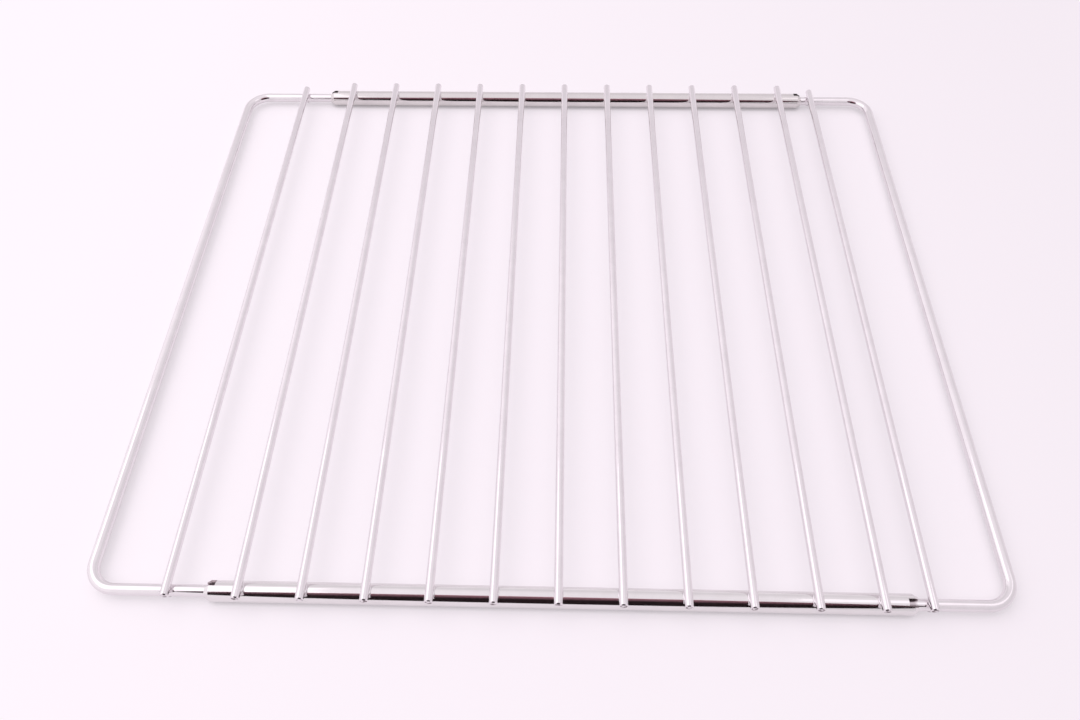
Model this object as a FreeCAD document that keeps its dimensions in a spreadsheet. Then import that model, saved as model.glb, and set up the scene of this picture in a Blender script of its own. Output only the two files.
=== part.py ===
import FreeCAD, Part
import math
import os

import Sketcher

# Extendable oven shelf rack, in millimetres.
# Two tubes lie along X with cross bars welded on top of them. A U-shaped wire frame slides out of the
# tubes at each end and carries one bar of its own. The rack lies flat, +Z up, with the tubes on Z = 0.
# The origin is under the middle of the whole rack with the frames drawn out as far as they rest.

DRIVING_SIZES = [
    ("bar_count", 11, "cross bars on the tubes"),
    ("bar_pitch", 25.0, "from one cross bar to the next"),
    ("bar_diameter", 3.5, "cross bars and frame bars"),
    ("bar_overhang", 0.8, "cross bar past the tube's outer side"),
    ("frame_bar_overhang", 1.4, "frame bar past the wire's outer side"),
    ("end_chamfer", 0.35, "edge broken off round the end of a bar"),
    ("weld_setdown", 0.3, "how far a welded bar beds into what it lies on"),
    ("tube_spacing", 304.0, "between the axes of the two tubes"),
    ("tube_overhang", 14.0, "tube past the last cross bar"),
    ("tube_wall", 0.9, "wall of the tube"),
    ("nose_length", 2.0, "tapered end of the tube"),
    ("lip_thickness", 0.4, "wall at the mouth of the tapered end"),
    ("slot_length", 4.3, "slot sawn in from the tube's end, so that the end can be pressed in"),
    ("slot_width", 3.4, "across the slot"),
    ("front_left_turn", 34.0, "degrees from straight up to the slot, towards the back"),
    ("front_right_turn", -10.0, "the same at the front tube's right end"),
    ("rear_left_turn", 18.0, "the same at the rear tube's left end"),
    ("rear_right_turn", 18.0, "the same at the rear tube's right end"),
    ("wire_diameter", 4.8, "wire of the sliding frames"),
    ("bore_clearance", 0.9, "gap round the wire inside the tube"),
    ("mouth_clearance", 0.3, "gap round the wire at the tube's mouth"),
    ("head_clearance", 0.3, "gap round the stop head inside the tube"),
    ("head_length", 4.0, "stop head on the end of an arm"),
    ("head_shoulder", 1.0, "slope from the stop head down to the wire"),
    ("arm_tip_gap", 57.0, "between the tips of two arms pushed right in"),
    ("corner_radius", 11.0, "frame corner, at the middle of the wire"),
    ("side_reach", 33.4, "from the frame bar to the frame's side"),
    ("closing_gap", 0.3, "frame bar to tube when pushed right in"),
    ("left_draw", 12.7, "left frame drawn out at rest"),
    ("right_draw", 2.9, "right frame drawn out at rest"),
]

# Expressions for the sizes that follow from the driving ones.
BAR_RADIUS = "(Sizes.bar_diameter / 2)"
WIRE_RADIUS = "(Sizes.wire_diameter / 2)"
BORE_RADIUS = f"({WIRE_RADIUS} + Sizes.bore_clearance)"
TUBE_RADIUS = f"({BORE_RADIUS} + Sizes.tube_wall)"
MOUTH_RADIUS = f"({WIRE_RADIUS} + Sizes.mouth_clearance)"
LIP_RADIUS = f"({MOUTH_RADIUS} + Sizes.lip_thickness)"
HEAD_RADIUS = f"({BORE_RADIUS} - Sizes.head_clearance)"
HALF_SPACING = "(Sizes.tube_spacing / 2)"
HALF_TUBE = "((Sizes.bar_count - 1) * Sizes.bar_pitch / 2 + Sizes.tube_overhang)"
CROSS_BAR_LENGTH = f"(Sizes.tube_spacing + 2 * ({TUBE_RADIUS} + Sizes.bar_overhang))"
FRAME_BAR_LENGTH = f"(Sizes.tube_spacing + 2 * ({WIRE_RADIUS} + Sizes.frame_bar_overhang))"
CROSS_BAR_HEIGHT = f"(2 * {TUBE_RADIUS} + {BAR_RADIUS} - Sizes.weld_setdown)"
FRAME_BAR_HEIGHT = f"({TUBE_RADIUS} + {WIRE_RADIUS} + {BAR_RADIUS} - Sizes.weld_setdown)"

# The middle section stands off the origin by half the difference between the two draws.
MIDDLE_X = "((Sizes.left_draw - Sizes.right_draw) / 2)"
FRAME_BAR_OUT = f"({HALF_TUBE} + Sizes.closing_gap + {BAR_RADIUS})"
LEFT_BAR_X = f"({MIDDLE_X} - {FRAME_BAR_OUT} - Sizes.left_draw)"
RIGHT_BAR_X = f"({MIDDLE_X} + {FRAME_BAR_OUT} + Sizes.right_draw)"

# From the frame bar inwards to the tip of an arm.
ARM_REACH = f"({FRAME_BAR_OUT} - Sizes.arm_tip_gap / 2)"

START, END, CENTRE = 1, 2, 3
ORIGIN = (-1, START)
ACROSS, UPRIGHT = -1, -2

doc = FreeCAD.newDocument("oven_shelf_rack")


def make_sheet():
    """Fill the spreadsheet with the driving sizes, one named cell each."""
    sheet = doc.addObject("Spreadsheet::Sheet", "Sizes")
    for row, (alias, value, note) in enumerate(DRIVING_SIZES, start=1):
        sheet.set(f"A{row}", note)
        sheet.set(f"B{row}", str(value))
        sheet.setAlias(f"B{row}", alias)
    doc.recompute()
    return sheet


def value_of(expression):
    """Work out an expression of the sheet as a plain number."""
    return float(sheet.evalExpression(expression))


def make_body(label, x, y, z, turn=0):
    """Start a sub-part at a place given by expressions, turned about Z by degrees."""
    body = doc.addObject("PartDesign::Body", label)
    body.Label = label
    body.Placement = FreeCAD.Placement(FreeCAD.Vector(), FreeCAD.Rotation(FreeCAD.Vector(0, 0, 1), turn))
    for axis, place in zip("xyz", (x, y, z)):
        body.setExpression(f"Placement.Base.{axis}", place)
    return body


def origin_feature(body, role):
    """Find a plane or axis of a body's own origin by its role."""
    return next(feature for feature in body.Origin.OriginFeatures if feature.Role == role)


def make_sketch(body, name, plane):
    """Start a sketch on one of the body's own planes."""
    sketch = body.newObject("Sketcher::SketchObject", name)
    sketch.AttachmentSupport = (origin_feature(body, plane), "")
    sketch.MapMode = "FlatFace"
    return sketch


def relate(sketch, kind, *elements):
    """Add a geometric constraint."""
    sketch.addConstraint(Sketcher.Constraint(kind, *elements))


def dimension(sketch, kind, elements, expression):
    """Add a dimension and bind it to an expression of the sheet."""
    index = sketch.addConstraint(Sketcher.Constraint(kind, *elements, value_of(expression)))
    sketch.setExpression(f"Constraints[{index}]", expression)


def line(sketch, start, end, construction=False):
    """Draw a line between two points of the sketch."""
    segment = Part.LineSegment(FreeCAD.Vector(*start, 0), FreeCAD.Vector(*end, 0))
    return sketch.addGeometry(segment, construction)


def arc(sketch, centre, radius, first, last):
    """Draw an arc anticlockwise between two angles in degrees."""
    circle = Part.Circle(FreeCAD.Vector(*centre, 0), FreeCAD.Vector(0, 0, 1), radius)
    return sketch.addGeometry(Part.ArcOfCircle(circle, math.radians(first), math.radians(last)), False)


def circle(sketch, centre, radius):
    """Draw a full circle."""
    return sketch.addGeometry(Part.Circle(FreeCAD.Vector(*centre, 0), FreeCAD.Vector(0, 0, 1), radius), False)


def outline(sketch, corners):
    """Draw a closed outline of straight sides through the corners, and give back its sides."""
    following_corners = corners[1:] + corners[:1]
    sides = [line(sketch, start, end) for start, end in zip(corners, following_corners)]
    for side, following in zip(sides, sides[1:] + sides[:1]):
        relate(sketch, "Coincident", side, END, following, START)
    return sides


def draw_tube_profile(sketch):
    """Draw half the tube's section: wall, bore and both tapered ends."""
    half, nose = value_of(HALF_TUBE), value_of("Sizes.nose_length")
    tube, bore = value_of(TUBE_RADIUS), value_of(BORE_RADIUS)
    lip, mouth = value_of(LIP_RADIUS), value_of(MOUTH_RADIUS)

    sides = outline(sketch, [
        (nose - half, tube),
        (half - nose, tube),
        (half, lip),
        (half, mouth),
        (half - nose, bore),
        (nose - half, bore),
        (-half, mouth),
        (-half, lip),
    ])
    wall, right_nose, right_mouth, right_throat, bore_side, left_throat, left_mouth, left_nose = sides
    relate(sketch, "Symmetric", wall, START, wall, END, UPRIGHT)
    relate(sketch, "Symmetric", bore_side, START, bore_side, END, UPRIGHT)
    relate(sketch, "Symmetric", right_mouth, START, left_mouth, END, UPRIGHT)
    relate(sketch, "Symmetric", right_mouth, END, left_mouth, START, UPRIGHT)
    relate(sketch, "Vertical", right_mouth)

    dimension(sketch, "DistanceX", (*ORIGIN, right_mouth, START), HALF_TUBE)
    dimension(sketch, "DistanceX", (right_nose, START, right_nose, END), "Sizes.nose_length")
    dimension(sketch, "DistanceX", (right_throat, END, right_throat, START), "Sizes.nose_length")
    dimension(sketch, "DistanceY", (*ORIGIN, wall, END), TUBE_RADIUS)
    dimension(sketch, "DistanceY", (*ORIGIN, bore_side, START), BORE_RADIUS)
    dimension(sketch, "DistanceY", (*ORIGIN, right_mouth, START), LIP_RADIUS)
    dimension(sketch, "DistanceY", (*ORIGIN, right_mouth, END), MOUTH_RADIUS)


def draw_slot(sketch, side):
    """Draw the slot at one end of the tube, running out past the end."""
    outer = value_of(HALF_TUBE) + value_of("Sizes.tube_wall")
    inner = value_of(HALF_TUBE) - value_of("Sizes.slot_length")
    half = value_of("Sizes.slot_width") / 2

    low, closed_end, high, open_end = outline(sketch, [
        (side * outer, -half),
        (side * inner, -half),
        (side * inner, half),
        (side * outer, half),
    ])
    relate(sketch, "Horizontal", low)
    relate(sketch, "Symmetric", closed_end, START, closed_end, END, ACROSS)
    relate(sketch, "Horizontal", high)
    relate(sketch, "Vertical", open_end)

    near, far = (ORIGIN, (high, END)) if side > 0 else ((high, END), ORIGIN)
    dimension(sketch, "DistanceX", (*near, *far), f"({HALF_TUBE} + Sizes.tube_wall)")
    near, far = ((high, START), (high, END)) if side > 0 else ((high, END), (high, START))
    dimension(sketch, "DistanceX", (*near, *far), "(Sizes.slot_length + Sizes.tube_wall)")
    dimension(sketch, "DistanceY", (closed_end, START, closed_end, END), "Sizes.slot_width")


def cut_slot(body, name, side):
    """Cut one slot through the upper wall at an end of the tube, turned about the tube by its own angle."""
    whole_volume = body.Shape.Volume
    section = make_sketch(body, f"{name}_slot", "XY_Plane")
    about_tube = FreeCAD.Rotation(FreeCAD.Vector(1, 0, 0), -value_of(f"Sizes.{name}_turn"))
    section.AttachmentOffset = FreeCAD.Placement(FreeCAD.Vector(), about_tube)
    section.setExpression("AttachmentOffset.Rotation.Angle", f"-Sizes.{name}_turn")
    draw_slot(section, side)
    slot = body.newObject("PartDesign::Pocket", f"{name}_slot_cut")
    slot.Profile = section
    slot.Reversed = True
    slot.setExpression("Length", f"({TUBE_RADIUS} + Sizes.tube_wall)")
    doc.recompute()
    if slot.Shape.Volume >= whole_volume:
        raise RuntimeError(f"{name}: the slot cuts nothing")


def make_tube(place, y):
    """Make one tube: a hollow turned form, slotted and tapered in at both ends to keep the arms captive."""
    label = f"{place}_tube"
    body = make_body(label, MIDDLE_X, y, TUBE_RADIUS)
    profile = make_sketch(body, f"{label}_profile", "XZ_Plane")
    draw_tube_profile(profile)
    turned = body.newObject("PartDesign::Revolution", f"{label}_turned")
    turned.Profile = profile
    turned.ReferenceAxis = (profile, ["H_Axis"])
    turned.Angle = 360
    doc.recompute()
    cut_slot(body, f"{place}_left", -1)
    cut_slot(body, f"{place}_right", 1)
    return body


def make_bar(label, x, z, length, seat_radius):
    """Make one bar along Y, its end edges broken, bedded on two round seats below it."""
    body = make_body(label, x, "0", z)

    section = make_sketch(body, f"{label}_section", "XZ_Plane")
    rod_circle = circle(section, (0, 0), value_of(BAR_RADIUS))
    relate(section, "Coincident", rod_circle, CENTRE, *ORIGIN)
    dimension(section, "Radius", (rod_circle,), BAR_RADIUS)
    rod = body.newObject("PartDesign::Pad", f"{label}_rod")
    rod.Profile = section
    rod.SideType = "Symmetric"
    rod.setExpression("Length", length)
    doc.recompute()

    ends = body.newObject("PartDesign::Chamfer", f"{label}_ends")
    rims = [n for n, edge in enumerate(rod.Shape.Edges, start=1) if isinstance(edge.Curve, Part.Circle)]
    ends.Base = (rod, [f"Edge{n}" for n in rims])
    ends.setExpression("Size", "Sizes.end_chamfer")
    doc.recompute()
    blank_volume = ends.Shape.Volume

    depth = f"({seat_radius} + {BAR_RADIUS} - Sizes.weld_setdown)"
    seats = make_sketch(body, f"{label}_seats", "YZ_Plane")
    half, down, radius = value_of(HALF_SPACING), value_of(depth), value_of(seat_radius)
    front_seat = circle(seats, (-half, -down), radius)
    rear_seat = circle(seats, (half, -down), radius)
    relate(seats, "Symmetric", front_seat, CENTRE, rear_seat, CENTRE, UPRIGHT)
    relate(seats, "Equal", front_seat, rear_seat)
    dimension(seats, "DistanceX", (front_seat, CENTRE, rear_seat, CENTRE), "Sizes.tube_spacing")
    dimension(seats, "DistanceY", (front_seat, CENTRE, *ORIGIN), depth)
    dimension(seats, "Radius", (front_seat,), seat_radius)
    bedding = body.newObject("PartDesign::Pocket", f"{label}_bedding")
    bedding.Profile = seats
    bedding.SideType = "Symmetric"
    bedding.setExpression("Length", "2 * Sizes.bar_diameter")
    doc.recompute()
    if bedding.Shape.Volume >= blank_volume:
        raise RuntimeError(f"{label}: the seats cut nothing")
    return body


def draw_frame_path(sketch):
    """Draw the middle line of the U: two arms, two round corners and the side."""
    tip, reach = -value_of(ARM_REACH), value_of("Sizes.side_reach")
    half, corner = value_of(HALF_SPACING), value_of("Sizes.corner_radius")

    front_arm = line(sketch, (tip, -half), (reach - corner, -half))
    front_corner = arc(sketch, (reach - corner, corner - half), corner, 270, 360)
    side = line(sketch, (reach, corner - half), (reach, half - corner))
    rear_corner = arc(sketch, (reach - corner, half - corner), corner, 0, 90)
    rear_arm = line(sketch, (reach - corner, half), (tip, half))

    relate(sketch, "Tangent", front_arm, END, front_corner, START)
    relate(sketch, "Tangent", front_corner, END, side, START)
    relate(sketch, "Tangent", side, END, rear_corner, START)
    relate(sketch, "Tangent", rear_corner, END, rear_arm, START)
    relate(sketch, "Horizontal", front_arm)
    relate(sketch, "Vertical", side)
    relate(sketch, "Horizontal", rear_arm)
    relate(sketch, "Symmetric", front_arm, START, rear_arm, END, ACROSS)
    relate(sketch, "Equal", front_corner, rear_corner)

    dimension(sketch, "DistanceX", (*ORIGIN, side, START), "Sizes.side_reach")
    dimension(sketch, "DistanceX", (front_arm, START, *ORIGIN), ARM_REACH)
    dimension(sketch, "DistanceY", (front_arm, START, rear_arm, END), "Sizes.tube_spacing")
    dimension(sketch, "Radius", (front_corner,), "Sizes.corner_radius")


def draw_head_profile(sketch):
    """Draw half the stop head's section on the rear arm, with the arm's axis to turn it about."""
    tip, axis = -value_of(ARM_REACH), value_of(HALF_SPACING)
    head, wire = axis + value_of(HEAD_RADIUS), axis + value_of(WIRE_RADIUS)
    shoulder_start = tip + value_of("Sizes.head_length")
    neck = shoulder_start + value_of("Sizes.head_shoulder")

    sides = outline(sketch, [(tip, axis), (tip, head), (shoulder_start, head), (neck, wire), (neck, axis)])
    face, flank, shoulder, neck_side, middle = sides
    turning_axis = line(sketch, (tip, axis), (neck, axis), construction=True)
    relate(sketch, "Coincident", turning_axis, START, face, START)
    relate(sketch, "Coincident", turning_axis, END, neck_side, END)
    relate(sketch, "Vertical", face)
    relate(sketch, "Horizontal", flank)
    relate(sketch, "Vertical", neck_side)
    relate(sketch, "Horizontal", middle)

    dimension(sketch, "DistanceX", (face, START, *ORIGIN), ARM_REACH)
    dimension(sketch, "DistanceY", (*ORIGIN, face, START), HALF_SPACING)
    dimension(sketch, "DistanceX", (flank, START, flank, END), "Sizes.head_length")
    dimension(sketch, "DistanceX", (shoulder, START, shoulder, END), "Sizes.head_shoulder")
    dimension(sketch, "DistanceY", (face, START, face, END), HEAD_RADIUS)
    dimension(sketch, "DistanceY", (neck_side, END, neck_side, START), WIRE_RADIUS)


def make_frame_wire(label, x, turn):
    """Make one U-shaped wire, bent in the XY plane, with an upset stop head on each arm."""
    body = make_body(label, x, "0", TUBE_RADIUS, turn)

    path = make_sketch(body, f"{label}_path", "XY_Plane")
    draw_frame_path(path)
    section = make_sketch(body, f"{label}_section", "YZ_Plane")
    section.setExpression("AttachmentOffset.Base.z", f"-{ARM_REACH}")
    wire_circle = circle(section, (-value_of(HALF_SPACING), 0), value_of(WIRE_RADIUS))
    relate(section, "PointOnObject", wire_circle, CENTRE, ACROSS)
    dimension(section, "DistanceX", (wire_circle, CENTRE, *ORIGIN), HALF_SPACING)
    dimension(section, "Radius", (wire_circle,), WIRE_RADIUS)
    doc.recompute()
    bent = body.newObject("PartDesign::AdditivePipe", f"{label}_bent")
    bent.Profile = section
    bent.Spine = path
    doc.recompute()

    head_profile = make_sketch(body, f"{label}_head_profile", "XY_Plane")
    draw_head_profile(head_profile)
    head = body.newObject("PartDesign::Revolution", f"{label}_head")
    head.Profile = head_profile
    head.ReferenceAxis = (head_profile, ["Axis0"])
    head.Angle = 360
    doc.recompute()

    heads = body.newObject("PartDesign::Mirrored", f"{label}_heads")
    heads.Originals = [head]
    heads.MirrorPlane = (origin_feature(body, "XZ_Plane"), [""])
    body.Tip = heads
    doc.recompute()
    return body


def make_rack():
    """Make every sub-part of the rack."""
    parts = [make_tube("front", f"-{HALF_SPACING}"), make_tube("rear", HALF_SPACING)]
    for number in range(1, int(value_of("Sizes.bar_count")) + 1):
        label = f"cross_bar_{number:02d}"
        bar_x = f"{MIDDLE_X} + ({number} - (Sizes.bar_count + 1) / 2) * Sizes.bar_pitch"
        parts.append(make_bar(label, bar_x, CROSS_BAR_HEIGHT, CROSS_BAR_LENGTH, TUBE_RADIUS))
    for side, bar_x, turn in (("left", LEFT_BAR_X, 180), ("right", RIGHT_BAR_X, 0)):
        parts.append(make_frame_wire(f"{side}_frame_wire", bar_x, turn))
        parts.append(make_bar(f"{side}_frame_bar", bar_x, FRAME_BAR_HEIGHT, FRAME_BAR_LENGTH, WIRE_RADIUS))
    return parts


def check_and_write(parts):
    """Stop if anything failed to build, then write one file for each sub-part."""
    for item in doc.Objects:
        if "Invalid" in item.State or "Error" in item.State:
            raise RuntimeError(f"{item.Label} failed: {item.State}")
    for part in parts:
        if part.Shape.isNull() or not part.Shape.isValid():
            raise RuntimeError(f"{part.Label} has no valid shape")
    os.makedirs("parts", exist_ok=True)
    for part in parts:
        part.Shape.exportStep(f"parts/{part.Label}.step")


sheet = make_sheet()
rack_parts = make_rack()
doc.recompute()
check_and_write(rack_parts)
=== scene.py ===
import math

import bpy
from mathutils import Matrix, Vector


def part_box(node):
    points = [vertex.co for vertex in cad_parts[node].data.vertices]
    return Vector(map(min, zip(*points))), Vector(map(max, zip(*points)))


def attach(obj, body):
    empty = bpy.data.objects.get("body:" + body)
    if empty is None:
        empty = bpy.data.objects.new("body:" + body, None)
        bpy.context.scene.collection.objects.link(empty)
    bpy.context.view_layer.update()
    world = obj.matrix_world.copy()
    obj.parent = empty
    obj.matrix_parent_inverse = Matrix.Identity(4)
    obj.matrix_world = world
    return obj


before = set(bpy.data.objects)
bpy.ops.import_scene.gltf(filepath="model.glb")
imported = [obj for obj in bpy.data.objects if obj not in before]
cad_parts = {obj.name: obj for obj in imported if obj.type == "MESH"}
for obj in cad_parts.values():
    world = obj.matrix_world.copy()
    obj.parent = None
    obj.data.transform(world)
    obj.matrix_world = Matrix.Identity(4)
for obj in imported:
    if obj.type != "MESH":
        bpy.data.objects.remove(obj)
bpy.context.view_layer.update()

# Oven shelf rack: bright chrome-plated wire on a pale floor, in metres.

MM = 0.001

# Sizes of the tubes, read from the frame.
tube_low, tube_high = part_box("front_tube")

TUBE_RADIUS = (tube_high.z - tube_low.z) / 2
TUBE_HALF_LENGTH = (tube_high.x - tube_low.x) / 2
TUBE_MIDDLE_X = (tube_low.x + tube_high.x) / 2
TUBE_AXIS_Y = -(tube_high.y + tube_low.y) / 2
TUBE_AXIS_Z = (tube_high.z + tube_low.z) / 2

# Sizes of the bent wires, which no box gives.
WIRE_RADIUS = 2.4 * MM
CORNER_RADIUS = 11 * MM

CROSS_BARS = [name for name in sorted(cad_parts) if name.startswith("cross_bar")]
FRAME_SIDES = ("left", "right")
TUBE_ENDS = (("front", -TUBE_AXIS_Y), ("rear", TUBE_AXIS_Y))

# Sockets of a Mix node, which go by number: both inputs and the output, for each kind of data.
FLOAT_A, FLOAT_B, FLOAT_MIX = 2, 3, 0
VECTOR_A, VECTOR_B, VECTOR_MIX = 4, 5, 1
COLOUR_A, COLOUR_B, COLOUR_MIX = 6, 7, 2


def linear(hex_colour):
    """Turn an sRGB hex colour into linear light."""
    channels = []
    for place in (1, 3, 5):
        level = int(hex_colour[place:place + 2], 16) / 255
        channels.append(level / 12.92 if level <= 0.04045 else ((level + 0.055) / 1.055) ** 2.4)
    return (*channels, 1.0)


def add_node(tree, kind, settings=None, inputs=None):
    """Add a node with its settings, and its inputs as values or as links from other nodes' outputs."""
    node = tree.nodes.new(kind)
    for name, value in (settings or {}).items():
        setattr(node, name, value)
    for socket, value in (inputs or {}).items():
        if isinstance(value, bpy.types.NodeSocket):
            tree.links.new(value, node.inputs[socket])
        else:
            node.inputs[socket].default_value = value
    return node


def start_material(name):
    """Make a material with a shader alone, and give back the material, its tree and its shader."""
    material = bpy.data.materials.new(name)
    material.use_nodes = True
    tree = material.node_tree
    tree.nodes.clear()
    shader = add_node(tree, "ShaderNodeBsdfPrincipled")
    add_node(tree, "ShaderNodeOutputMaterial", inputs={"Surface": shader.outputs["BSDF"]})
    return material, tree, shader


# Bright nickel and chrome plating over drawn steel. It mirrors the studio almost cleanly, and what gives it
# away as plated wire is a long faint waviness and the fine lines that the drawing die left under the
# plating. Each tone is a pair: the bright plating, and the same where a faint haze lies on it.
BAR_TONES = ("#EEEAEC", "#DFDADD")
# The tubes' tones differ by end as painted light: lighter on the front tube, and darker as painted shade on
# the rear one, for how each mirrors the studio; both are the same plating.
TUBE_TONES = {"front": ("#EAE8E8", "#DEDBDB"), "rear": ("#E0DDDB", "#D4D0D0")}
WELD_TONES = ("#E8E5E7", "#DCD8DB")
WIRE_TONES = ("#ECE9EA", "#DFDADD")

# Relief of the plating. Real die lines are finer than the render can show, so they are drawn this coarse.
DIE_LINE_WIDTH = 0.35 * MM
DIE_LINE_LENGTH = 60 * MM
DIE_LINE_DEPTH = 0.01 * MM
DIE_LINE_STRENGTH = 0.25
DIE_LINE_DETAIL = 2.0
WAVE_LENGTH = 14 * MM
WAVE_DEPTH = 0.05 * MM
WAVE_STRENGTH = 0.35
WAVE_DETAIL = 1.0
WELD_GRAIN = 0.8 * MM

# Haze on the plating: patches that fade in between two levels of their noise, from clear to dull.
HAZE_SIZE = 9 * MM
HAZE_DETAIL = 4.0
HAZE_BREAKUP = 0.6
HAZE_START, HAZE_FULL = 0.3, 0.75
CLEAR_ROUGHNESS, HAZY_ROUGHNESS = 0.05, 0.12

# Oxide film on the steel inside the tubes, where plating hardly reaches: dull and mirroring nothing. Its
# tone
# also holds painted light: pale in the front tube, lifting the shade inside it, and grey-brown in the rear
# one as painted shade. A face counts as inside if its normal points away from the tube's axis by less than
# the limit.
OXIDE_FILMS_AND_PAINTED_LIGHT = {"front": "#CABDC0", "rear": "#453C3E"}
OXIDE_ROUGHNESS = 0.7
INSIDE_LIMIT = 1.0 * MM

# Shear-cut bar ends, where the plating is thin: bright, with dull grey patches where steel shows through.
# Only faces that look almost straight along the bar are cut ends.
CUT_END = "#8C8286"
CUT_ROUGHNESS = 0.5
CUT_PATCH = 1.6 * MM
CUT_PATCH_DETAIL = 1.0
CUT_START, CUT_FULL = 0.42, 0.55
CUT_FACING = 0.9

# Plating scuffed by sliding, on the length of the arms that stays in the tubes: a little duller, and greyer
# partly from the scuffing and partly as painted shade from the tube round it.
SCUFFED_PLATING_AND_PAINTED_SHADE = "#B9B1B4"
SCUFFED_ROUGHNESS = 0.24
SCUFF_AND_SHADE_FADE = 2 * MM

ALONG_X, ALONG_Y = 0, 1


def die_lines(tree, place, along):
    """Stretch the coordinates along one axis, by its number, so that a noise on them draws die lines."""
    steps = [DIE_LINE_LENGTH if axis == along else DIE_LINE_WIDTH for axis in range(3)]
    stretched = add_node(tree, "ShaderNodeMapping", inputs={
        "Vector": place, "Scale": [1 / step for step in steps],
    })
    return stretched.outputs["Vector"]


def plate(tree, shader, place, lines, tones):
    """Build the plating into a material, and give back its colour and its roughness."""
    line_noise = add_node(tree, "ShaderNodeTexNoise", inputs={
        "Vector": lines, "Scale": 1.0, "Detail": DIE_LINE_DETAIL,
    })
    wave_noise = add_node(tree, "ShaderNodeTexNoise", inputs={
        "Vector": place, "Scale": 1 / WAVE_LENGTH, "Detail": WAVE_DETAIL,
    })
    haze_noise = add_node(tree, "ShaderNodeTexNoise", inputs={
        "Vector": place, "Scale": 1 / HAZE_SIZE, "Detail": HAZE_DETAIL, "Roughness": HAZE_BREAKUP,
    })
    bright, hazy = tones
    colour = add_node(tree, "ShaderNodeMix", {"data_type": "RGBA"}, {
        "Factor": haze_noise.outputs["Fac"], COLOUR_A: linear(bright), COLOUR_B: linear(hazy),
    })
    roughness = add_node(tree, "ShaderNodeMapRange", inputs={
        "Value": haze_noise.outputs["Fac"], "From Min": HAZE_START, "From Max": HAZE_FULL,
        "To Min": CLEAR_ROUGHNESS, "To Max": HAZY_ROUGHNESS,
    })
    wave = add_node(tree, "ShaderNodeBump", inputs={
        "Height": wave_noise.outputs["Fac"], "Strength": WAVE_STRENGTH, "Distance": WAVE_DEPTH,
    })
    drawn = add_node(tree, "ShaderNodeBump", inputs={
        "Height": line_noise.outputs["Fac"], "Strength": DIE_LINE_STRENGTH, "Distance": DIE_LINE_DEPTH,
        "Normal": wave.outputs["Normal"],
    })
    tree.links.new(colour.outputs[COLOUR_MIX], shader.inputs["Base Color"])
    tree.links.new(roughness.outputs["Result"], shader.inputs["Roughness"])
    tree.links.new(drawn.outputs["Normal"], shader.inputs["Normal"])
    shader.inputs["Metallic"].default_value = 1.0
    return colour.outputs[COLOUR_MIX], roughness.outputs["Result"]


def wear_and_painted_light(tree, shader, plating, mask, worn_and_painted_colour, worn_roughness):
    """Swap the plating for a worn or bare surface, which for the tubes and arms also holds painted light and
    shade, where the mask is one.
    """
    colour, roughness = plating
    worn = add_node(tree, "ShaderNodeMix", {"data_type": "RGBA"}, {
        "Factor": mask, COLOUR_A: colour, COLOUR_B: linear(worn_and_painted_colour),
    })
    dulled = add_node(tree, "ShaderNodeMix", {"data_type": "FLOAT"}, {
        "Factor": mask, FLOAT_A: roughness, FLOAT_B: worn_roughness,
    })
    tree.links.new(worn.outputs[COLOUR_MIX], shader.inputs["Base Color"])
    tree.links.new(dulled.outputs[FLOAT_MIX], shader.inputs["Roughness"])


def plated_bar():
    """Make the finish of the straight bars, drawn along Y and cut off at both ends."""
    material, tree, shader = start_material("chrome_plated_drawn_bar")
    place = add_node(tree, "ShaderNodeTexCoord").outputs["Object"]
    plating = plate(tree, shader, place, die_lines(tree, place, ALONG_Y), BAR_TONES)
    facing = add_node(tree, "ShaderNodeNewGeometry").outputs["Normal"]
    split = add_node(tree, "ShaderNodeSeparateXYZ", inputs={"Vector": facing})
    lengthwise = add_node(tree, "ShaderNodeMath", {"operation": "ABSOLUTE"}, {0: split.outputs["Y"]})
    patch_noise = add_node(tree, "ShaderNodeTexNoise", inputs={
        "Vector": place, "Scale": 1 / CUT_PATCH, "Detail": CUT_PATCH_DETAIL,
    })
    patches = add_node(tree, "ShaderNodeMapRange", inputs={
        "Value": patch_noise.outputs["Fac"], "From Min": CUT_START, "From Max": CUT_FULL,
    })
    on_end = add_node(tree, "ShaderNodeMath", {"operation": "GREATER_THAN"}, {
        0: lengthwise.outputs["Value"], 1: CUT_FACING,
    })
    cut = add_node(tree, "ShaderNodeMath", {"operation": "MULTIPLY"}, {
        0: on_end.outputs["Value"], 1: patches.outputs["Result"],
    })
    wear_and_painted_light(tree, shader, plating, cut.outputs["Value"], CUT_END, CUT_ROUGHNESS)
    return material


def plated_tube(end, axis_y):
    """Make the finish of a tube along X, with tones that hold painted light for its end, and an oxide film
    that also holds painted light on faces that don't look out from its axis.
    """
    material, tree, shader = start_material(f"chrome_plated_{end}_tube")
    place = add_node(tree, "ShaderNodeTexCoord").outputs["Object"]
    plating = plate(tree, shader, place, die_lines(tree, place, ALONG_X), TUBE_TONES[end])
    from_axis = add_node(tree, "ShaderNodeMapping", inputs={
        "Vector": place, "Location": (0, -axis_y, -TUBE_AXIS_Z), "Scale": (0, 1, 1),
    })
    facing = add_node(tree, "ShaderNodeNewGeometry").outputs["Normal"]
    outward = add_node(tree, "ShaderNodeVectorMath", {"operation": "DOT_PRODUCT"}, {
        0: from_axis.outputs["Vector"], 1: facing,
    })
    inside = add_node(tree, "ShaderNodeMath", {"operation": "LESS_THAN"}, {
        0: outward.outputs["Value"], 1: INSIDE_LIMIT,
    })
    wear_and_painted_light(tree, shader, plating, inside.outputs["Value"], OXIDE_FILMS_AND_PAINTED_LIGHT[end], OXIDE_ROUGHNESS)
    metal = add_node(tree, "ShaderNodeMath", {"operation": "SUBTRACT"}, {0: 1.0, 1: inside.outputs["Value"]})
    tree.links.new(metal.outputs["Value"], shader.inputs["Metallic"])
    return material


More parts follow.
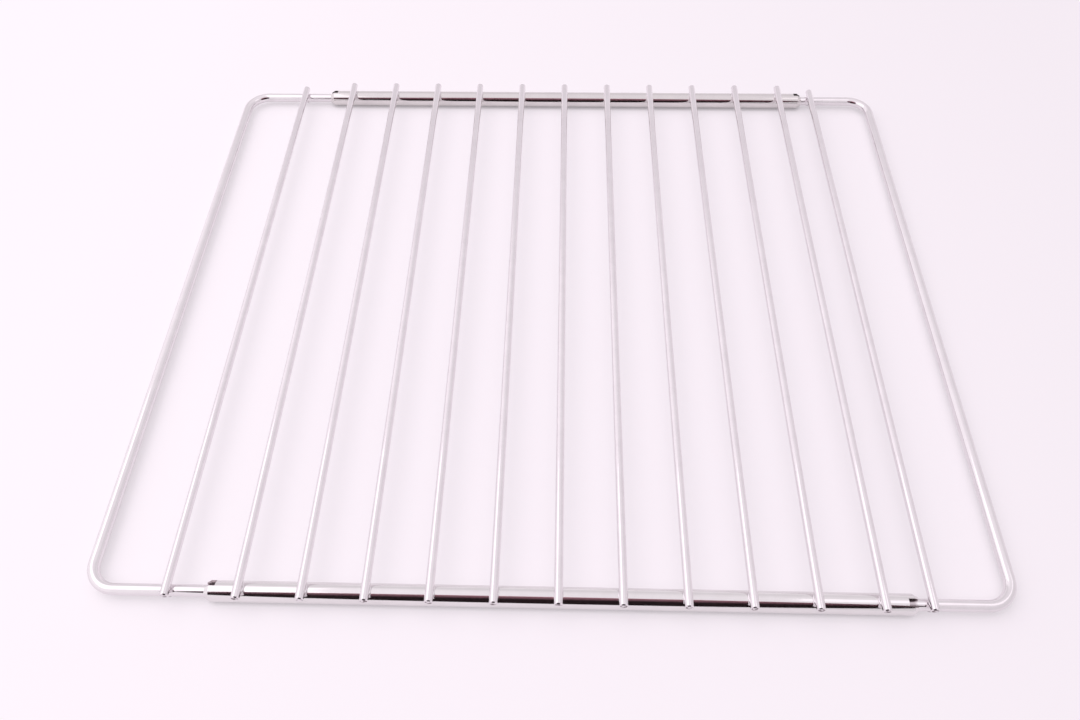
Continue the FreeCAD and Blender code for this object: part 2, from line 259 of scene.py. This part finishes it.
def plated_frame():
    """Make the finish of the bent wires: drawn along the arms and the side, scuffed and greyed with painted
    shade inside the tubes.
    """
    material, tree, shader = start_material("chrome_plated_bent_wire")
    place = add_node(tree, "ShaderNodeTexCoord").outputs["Object"]
    split = add_node(tree, "ShaderNodeSeparateXYZ", inputs={"Vector": place})
    depth = add_node(tree, "ShaderNodeMath", {"operation": "ABSOLUTE"}, {0: split.outputs["Y"]})
    on_arm = add_node(tree, "ShaderNodeMath", {"operation": "GREATER_THAN"}, {
        0: depth.outputs["Value"], 1: TUBE_AXIS_Y - CORNER_RADIUS,
    })
    lines = add_node(tree, "ShaderNodeMix", {"data_type": "VECTOR"}, {
        "Factor": on_arm.outputs["Value"],
        VECTOR_A: die_lines(tree, place, ALONG_Y), VECTOR_B: die_lines(tree, place, ALONG_X),
    })
    plating = plate(tree, shader, place, lines.outputs[VECTOR_MIX], WIRE_TONES)
    from_middle = add_node(tree, "ShaderNodeMath", {"operation": "SUBTRACT"}, {
        0: split.outputs["X"], 1: TUBE_MIDDLE_X,
    })
    out = add_node(tree, "ShaderNodeMath", {"operation": "ABSOLUTE"}, {0: from_middle.outputs["Value"]})
    in_tube = add_node(tree, "ShaderNodeMapRange", {"interpolation_type": "SMOOTHSTEP"}, {
        "Value": out.outputs["Value"],
        "From Min": TUBE_HALF_LENGTH - SCUFF_AND_SHADE_FADE, "From Max": TUBE_HALF_LENGTH,
        "To Min": 1.0, "To Max": 0.0,
    })
    wear_and_painted_light(tree, shader, plating, in_tube.outputs["Result"], SCUFFED_PLATING_AND_PAINTED_SHADE, SCUFFED_ROUGHNESS)
    return material


def plated_weld():
    """Make the finish of the weld flash, plated like the bars but with a fine grain for die lines."""
    material, tree, shader = start_material("chrome_plated_weld")
    place = add_node(tree, "ShaderNodeTexCoord").outputs["Object"]
    grain = add_node(tree, "ShaderNodeMapping", inputs={"Vector": place, "Scale": [1 / WELD_GRAIN] * 3})
    plate(tree, shader, place, grain.outputs["Vector"], WELD_TONES)
    return material


def dress(node, material):
    """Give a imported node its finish."""
    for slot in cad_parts[node].material_slots:
        slot.material = material


chrome_bars = plated_bar()
chrome_frames = plated_frame()
for bar in CROSS_BARS:
    dress(bar, chrome_bars)
for end, axis_y in TUBE_ENDS:
    dress(f"{end}_tube", plated_tube(end, axis_y))
for side in FRAME_SIDES:
    dress(f"{side}_frame_bar", chrome_bars)
    dress(f"{side}_frame_wire", chrome_frames)


# Weld flash: where a bar was pressed into the hot tube or wire, a little metal is squeezed out in a lumpy
# collar round the seat and plated over. The collar is longer on a tube than on a wire.
WELD_BEAD = 0.42 * MM
WELD_HALF_WIDTH = 1.6 * MM
TUBE_WELD_HALF_LENGTH = 2.2 * MM
WIRE_WELD_HALF_LENGTH = 1.9 * MM
WELD_LIFT = 0.3 * MM
WELD_LUMPS = 0.05 * MM
WELD_STATIONS = 28
WELD_SIDES = 10


def model_weld(name, seat_radius, half_length):
    """Model one collar of weld flash on a rod of that radius along X, the rod's top at the origin."""
    bpy.ops.object.select_all(action="DESELECT")
    bpy.ops.mesh.primitive_torus_add(
        major_segments=WELD_STATIONS, minor_segments=WELD_SIDES,
        major_radius=WELD_HALF_WIDTH, minor_radius=WELD_BEAD,
    )
    weld = bpy.context.object
    weld.name = name
    bpy.ops.object.mode_set(mode="EDIT")
    bpy.ops.transform.resize(value=(1, half_length / WELD_HALF_WIDTH, 1))
    bpy.ops.object.mode_set(mode="OBJECT")
    for station in range(WELD_STATIONS):
        ring = range(station * WELD_SIDES, (station + 1) * WELD_SIDES)
        across = sum(weld.data.vertices[index].co.y for index in ring) / WELD_SIDES
        drop = seat_radius - math.sqrt(seat_radius ** 2 - across ** 2)
        for vertex in weld.data.vertices:
            vertex.select = vertex.index in ring
        bpy.ops.object.mode_set(mode="EDIT")
        bpy.ops.mesh.select_mode(type="VERT")
        bpy.ops.transform.translate(value=(0, 0, WELD_LIFT - drop))
        bpy.ops.object.mode_set(mode="OBJECT")
    bpy.ops.object.shade_smooth()
    return weld


def place_weld(model, name, spot, body, seed):
    """Copy a weld to its spot, give it lumps of its own and let it ride on a body."""
    weld = model.copy()
    weld.data = model.data.copy()
    weld.name = name
    weld.data.name = name
    weld.data.transform(Matrix.Translation(spot))
    bpy.context.scene.collection.objects.link(weld)
    bpy.ops.object.select_all(action="DESELECT")
    weld.select_set(True)
    bpy.context.view_layer.objects.active = weld
    bpy.ops.object.mode_set(mode="EDIT")
    bpy.ops.mesh.select_all(action="SELECT")
    bpy.ops.transform.vertex_random(offset=WELD_LUMPS, seed=seed)
    bpy.ops.object.mode_set(mode="OBJECT")
    weld.data.materials.append(chrome_welds)
    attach(weld, body)


def weld_bars():
    """Weld every cross bar to both tubes, and each frame bar to both arms of its frame."""
    tube_weld = model_weld("weld_on_tube", TUBE_RADIUS, TUBE_WELD_HALF_LENGTH)
    wire_weld = model_weld("weld_on_wire", WIRE_RADIUS, WIRE_WELD_HALF_LENGTH)
    seed = 0
    for end, axis_y in TUBE_ENDS:
        for number, bar in enumerate(CROSS_BARS, start=1):
            low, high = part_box(bar)
            spot = Vector(((low.x + high.x) / 2, axis_y, tube_high.z))
            seed += 1
            place_weld(tube_weld, f"weld_{end}_{number:02d}", spot, "centre_section", seed)
        for side in FRAME_SIDES:
            low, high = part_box(f"{side}_frame_bar")
            spot = Vector(((low.x + high.x) / 2, axis_y, TUBE_AXIS_Z + WIRE_RADIUS))
            seed += 1
            place_weld(wire_weld, f"weld_{end}_{side}_frame", spot, f"{side}_frame", seed)
    for model in (tube_weld, wire_weld):
        bpy.data.objects.remove(model)


chrome_welds = plated_weld()
weld_bars()


# Pale floor, a sheet of matt paper. Its colour is painted brighter towards the light on the left, as painted
# light. Part of its tone is a plain glow that only the camera and the chrome see, so that it stays pale and
# the shadows on it stay soft. The glow dims where the tubes and the wires lie close above the paper, as a
# painted contact shadow.
FLOOR_SIZE = 40.0
FLOOR_LEFT, FLOOR_RIGHT = "#FCF6FB", "#F2ECF1"
FLOOR_FADE_START, FLOOR_FADE_END = -0.25, 0.3
FLOOR_GLOW = 0.5
PAPER_ROUGHNESS = 0.9
CONTACT_REACH = 2 * MM
CONTACT_SHADE = 0.55
CONTACT_SAMPLES = 4
BLACK = "#000000"


def seen_directly(tree):
    """Give one for rays from the camera or a mirroring surface, and nought for light that falls on paper."""
    path = add_node(tree, "ShaderNodeLightPath")
    seen = add_node(tree, "ShaderNodeMath", {"operation": "MAXIMUM"}, {
        0: path.outputs["Is Camera Ray"], 1: path.outputs["Is Glossy Ray"],
    })
    return seen.outputs["Value"]


def lay_floor():
    """Lay the floor under the rack, fading a little from left to right."""
    bpy.ops.object.select_all(action="DESELECT")
    bpy.ops.mesh.primitive_plane_add(size=FLOOR_SIZE)
    floor = bpy.context.object
    floor.name = "floor"
    material, tree, shader = start_material("matt_paper")
    place = add_node(tree, "ShaderNodeTexCoord").outputs["Object"]
    across = add_node(tree, "ShaderNodeSeparateXYZ", inputs={"Vector": place})
    fade = add_node(tree, "ShaderNodeMapRange", inputs={
        "Value": across.outputs["X"], "From Min": FLOOR_FADE_START, "From Max": FLOOR_FADE_END,
    })
    colour = add_node(tree, "ShaderNodeMix", {"data_type": "RGBA"}, {
        "Factor": fade.outputs["Result"], COLOUR_A: linear(FLOOR_LEFT), COLOUR_B: linear(FLOOR_RIGHT),
    })
    glow = add_node(tree, "ShaderNodeMath", {"operation": "MULTIPLY"}, {
        0: seen_directly(tree), 1: FLOOR_GLOW,
    })
    lit = add_node(tree, "ShaderNodeMix", {"data_type": "RGBA"}, {
        "Factor": glow.outputs["Value"], COLOUR_A: colour.outputs[COLOUR_MIX], COLOUR_B: linear(BLACK),
    })
    contact = add_node(tree, "ShaderNodeAmbientOcclusion", {"samples": CONTACT_SAMPLES}, {
        "Distance": CONTACT_REACH,
    })
    shade = add_node(tree, "ShaderNodeMath", {"operation": "MULTIPLY_ADD"}, {
        0: contact.outputs["AO"], 1: CONTACT_SHADE, 2: 1 - CONTACT_SHADE,
    })
    open_glow = add_node(tree, "ShaderNodeMath", {"operation": "MULTIPLY"}, {
        0: glow.outputs["Value"], 1: shade.outputs["Value"],
    })
    tree.links.new(lit.outputs[COLOUR_MIX], shader.inputs["Base Color"])
    tree.links.new(colour.outputs[COLOUR_MIX], shader.inputs["Emission Color"])
    tree.links.new(open_glow.outputs["Value"], shader.inputs["Emission Strength"])
    shader.inputs["Roughness"].default_value = PAPER_ROUGHNESS
    shader.inputs["Specular IOR Level"].default_value = 0.0
    floor.data.materials.append(material)


# A white tent, as the chrome mirrors it: brightest overhead, brighter on the left, where the light comes in,
# though not far back, and brighter low down at the back. Each change runs between two values of the
# direction that is looked in. The camera itself sees one plain tone.
TENT_WALLS, TENT_TOP = 0.86, 1.02
TENT_TOP_START, TENT_TOP_FULL = 0.55, 0.95
TENT_LEFT_GAIN = 0.28
TENT_LEFT_FULL, TENT_LEFT_END = -0.7, 0.1
TENT_LEFT_FADE, TENT_LEFT_GONE = 0.62, 0.76
TENT_BACK_GAIN = 0.15
TENT_BACK_FADE, TENT_BACK_GONE = 0.15, 0.45
TENT_BEHIND = 0.93
TENT_COLOUR = "#FFF8FE"

# The light that falls through the tent on the floor: most of it from above, and more from the left than from
# the right.
SKY_TOWARDS = Vector((-0.38, 0.15, 0.91)).normalized()
SKY_POWER = 2.5
SKY_PEAK = 1.82
SKY_REST = 0.28

# Two soft boxes over the rack. Their power is in watts, their sizes and places in metres.
SOFT_BOXES = {
    "left_soft_box": ((-0.68, -0.02, 0.92), (1.1, 0.7), 1.0),
    "right_soft_box": ((0.6, -0.02, 0.95), (0.5, 0.5), 0.25),
}


def mirrored_tent(tree, towards):
    """Give the tent's strength in a direction, as the chrome mirrors it."""
    split = add_node(tree, "ShaderNodeSeparateXYZ", inputs={"Vector": towards})
    height = add_node(tree, "ShaderNodeMapRange", inputs={
        "Value": split.outputs["Z"], "From Min": TENT_TOP_START, "From Max": TENT_TOP_FULL,
        "To Min": TENT_WALLS, "To Max": TENT_TOP,
    })
    left = add_node(tree, "ShaderNodeMapRange", {"interpolation_type": "SMOOTHSTEP"}, {
        "Value": split.outputs["X"], "From Min": TENT_LEFT_FULL, "From Max": TENT_LEFT_END,
        "To Min": TENT_LEFT_GAIN, "To Max": 0.0,
    })
    near = add_node(tree, "ShaderNodeMapRange", {"interpolation_type": "SMOOTHSTEP"}, {
        "Value": split.outputs["Y"], "From Min": TENT_LEFT_FADE, "From Max": TENT_LEFT_GONE,
        "To Min": 1.0, "To Max": 0.0,
    })
    low = add_node(tree, "ShaderNodeMapRange", {"interpolation_type": "SMOOTHSTEP"}, {
        "Value": split.outputs["Z"], "From Min": TENT_BACK_FADE, "From Max": TENT_BACK_GONE,
        "To Min": TENT_BACK_GAIN, "To Max": 0.0,
    })
    back = add_node(tree, "ShaderNodeMath", {"operation": "MULTIPLY", "use_clamp": True}, {
        0: split.outputs["Y"], 1: low.outputs["Result"],
    })
    sides = add_node(tree, "ShaderNodeMath", {"operation": "MULTIPLY_ADD"}, {
        0: left.outputs["Result"], 1: near.outputs["Result"], 2: back.outputs["Value"],
    })
    mirrored = add_node(tree, "ShaderNodeMath", {"operation": "ADD"}, {
        0: height.outputs["Result"], 1: sides.outputs["Value"],
    })
    return mirrored.outputs["Value"]


def falling_light(tree, towards):
    """Give the strength of the light that falls on the floor from a direction."""
    along = add_node(tree, "ShaderNodeVectorMath", {"operation": "DOT_PRODUCT"}, {
        0: towards, 1: SKY_TOWARDS,
    })
    facing = add_node(tree, "ShaderNodeMath", {"operation": "MAXIMUM"}, {
        0: along.outputs["Value"], 1: 0.0,
    })
    peak = add_node(tree, "ShaderNodeMath", {"operation": "POWER"}, {
        0: facing.outputs["Value"], 1: SKY_POWER,
    })
    falling = add_node(tree, "ShaderNodeMath", {"operation": "MULTIPLY_ADD"}, {
        0: peak.outputs["Value"], 1: SKY_PEAK, 2: SKY_REST,
    })
    return falling.outputs["Value"]


def raise_tent():
    """Raise the white tent round the rack, with its mirrored look and its light apart."""
    world = bpy.data.worlds.new("white_tent")
    bpy.context.scene.world = world
    world.use_nodes = True
    tree = world.node_tree
    tree.nodes.clear()
    towards = add_node(tree, "ShaderNodeTexCoord").outputs["Generated"]
    mirrored = mirrored_tent(tree, towards)
    falling = falling_light(tree, towards)
    strength = add_node(tree, "ShaderNodeMix", {"data_type": "FLOAT"}, {
        "Factor": seen_directly(tree), FLOAT_A: falling, FLOAT_B: mirrored,
    })
    behind = add_node(tree, "ShaderNodeMix", {"data_type": "FLOAT"}, {
        "Factor": add_node(tree, "ShaderNodeLightPath").outputs["Is Camera Ray"],
        FLOAT_A: strength.outputs[FLOAT_MIX], FLOAT_B: TENT_BEHIND,
    })
    background = add_node(tree, "ShaderNodeBackground", inputs={
        "Color": linear(TENT_COLOUR), "Strength": behind.outputs[FLOAT_MIX],
    })
    add_node(tree, "ShaderNodeOutputWorld", inputs={"Surface": background.outputs["Background"]})


def hang_soft_boxes():
    """Hang the soft boxes over the rack, turned towards it, to draw the soft shadows."""
    for name, (place, size, power) in SOFT_BOXES.items():
        lamp = bpy.data.lights.new(name, "AREA")
        lamp.shape = "RECTANGLE"
        lamp.size, lamp.size_y = size
        lamp.energy = power
        lamp.color = linear(TENT_COLOUR)[:3]
        box = bpy.data.objects.new(name, lamp)
        bpy.context.scene.collection.objects.link(box)
        box.location = Vector(place)
        box.rotation_euler = box.location.to_track_quat("Z", "Y").to_euler()


# The dark opening of the tent round the camera, which the tubes mirror as one dark line. It is an oval from
# a low to a high point, dark up to the height of its rise, and paler from there to its top.
OPENING_LOW = Vector((0.0, -489 * MM, 10 * MM))
OPENING_HIGH = Vector((0.0, -330 * MM, 762 * MM))
OPENING_HALF_WIDTH = 330 * MM
OPENING_CORNERS = 96
OPENING_RISE = 260 * MM
OPENING_BOTTOM, OPENING_TOP = "#281F21", "#C2919B"


def hang_opening():
    """Hang the dark oval round the camera, seen only in reflections."""
    up = (OPENING_HIGH - OPENING_LOW) / 2
    bpy.ops.object.select_all(action="DESELECT")
    bpy.ops.mesh.primitive_circle_add(vertices=OPENING_CORNERS, radius=1.0, fill_type="NGON")
    opening = bpy.context.object
    opening.name = "tent_opening"
    across = Vector((1, 0, 0))
    facing = across.cross(up.normalized())
    turn = Matrix((across * OPENING_HALF_WIDTH, up, facing)).transposed().to_4x4()
    opening.data.transform(Matrix.Translation((OPENING_LOW + OPENING_HIGH) / 2) @ turn)
    material, tree, shader = start_material("dark_room")
    place = add_node(tree, "ShaderNodeTexCoord").outputs["Object"]
    split = add_node(tree, "ShaderNodeSeparateXYZ", inputs={"Vector": place})
    rise = add_node(tree, "ShaderNodeMapRange", inputs={
        "Value": split.outputs["Z"], "From Min": OPENING_RISE, "From Max": OPENING_HIGH.z,
    })
    colour = add_node(tree, "ShaderNodeMix", {"data_type": "RGBA"}, {
        "Factor": rise.outputs["Result"], COLOUR_A: linear(OPENING_BOTTOM), COLOUR_B: linear(OPENING_TOP),
    })
    tree.links.new(colour.outputs[COLOUR_MIX], shader.inputs["Base Color"])
    shader.inputs["Roughness"].default_value = 1.0
    shader.inputs["Specular IOR Level"].default_value = 0.0
    opening.data.materials.append(material)
    opening.visible_camera = False
    opening.visible_diffuse = False
    opening.visible_shadow = False


# Camera where the photograph was taken from: nearly straight on, turned a little to the left and looking
# steeply down. Its angles are in radians, its lens and sensor in millimetres.
CAMERA_PLACE = Vector((4.04 * MM, -270.91 * MM, 333.15 * MM))
CAMERA_PITCH = 0.9546
CAMERA_YAW = -0.03903
CAMERA_ROLL = -0.01834
CAMERA_LENS = 28.705
CAMERA_SENSOR = 36.0
CAMERA_CLIP = 10 * MM


def set_camera():
    """Place the camera by its pitch down, its yaw from +Y and its roll."""
    data = bpy.data.cameras.new("camera")
    data.lens = CAMERA_LENS
    data.sensor_width = CAMERA_SENSOR
    data.sensor_fit = "HORIZONTAL"
    data.clip_start = CAMERA_CLIP
    camera = bpy.data.objects.new("camera", data)
    bpy.context.scene.collection.objects.link(camera)
    ahead = Vector((
        math.sin(CAMERA_YAW) * math.cos(CAMERA_PITCH),
        math.cos(CAMERA_YAW) * math.cos(CAMERA_PITCH),
        -math.sin(CAMERA_PITCH),
    ))
    level_right = ahead.cross(Vector((0, 0, 1))).normalized()
    level_up = level_right.cross(ahead)
    right = level_right * math.cos(CAMERA_ROLL) + level_up * math.sin(CAMERA_ROLL)
    up = right.cross(ahead)
    turn = Matrix((right, up, -ahead)).transposed().to_4x4()
    camera.matrix_world = Matrix.Translation(CAMERA_PLACE) @ turn
    bpy.context.scene.camera = camera


lay_floor()
raise_tent()
hang_soft_boxes()
hang_opening()
set_camera()
bpy.context.scene.view_settings.view_transform = "Standard"
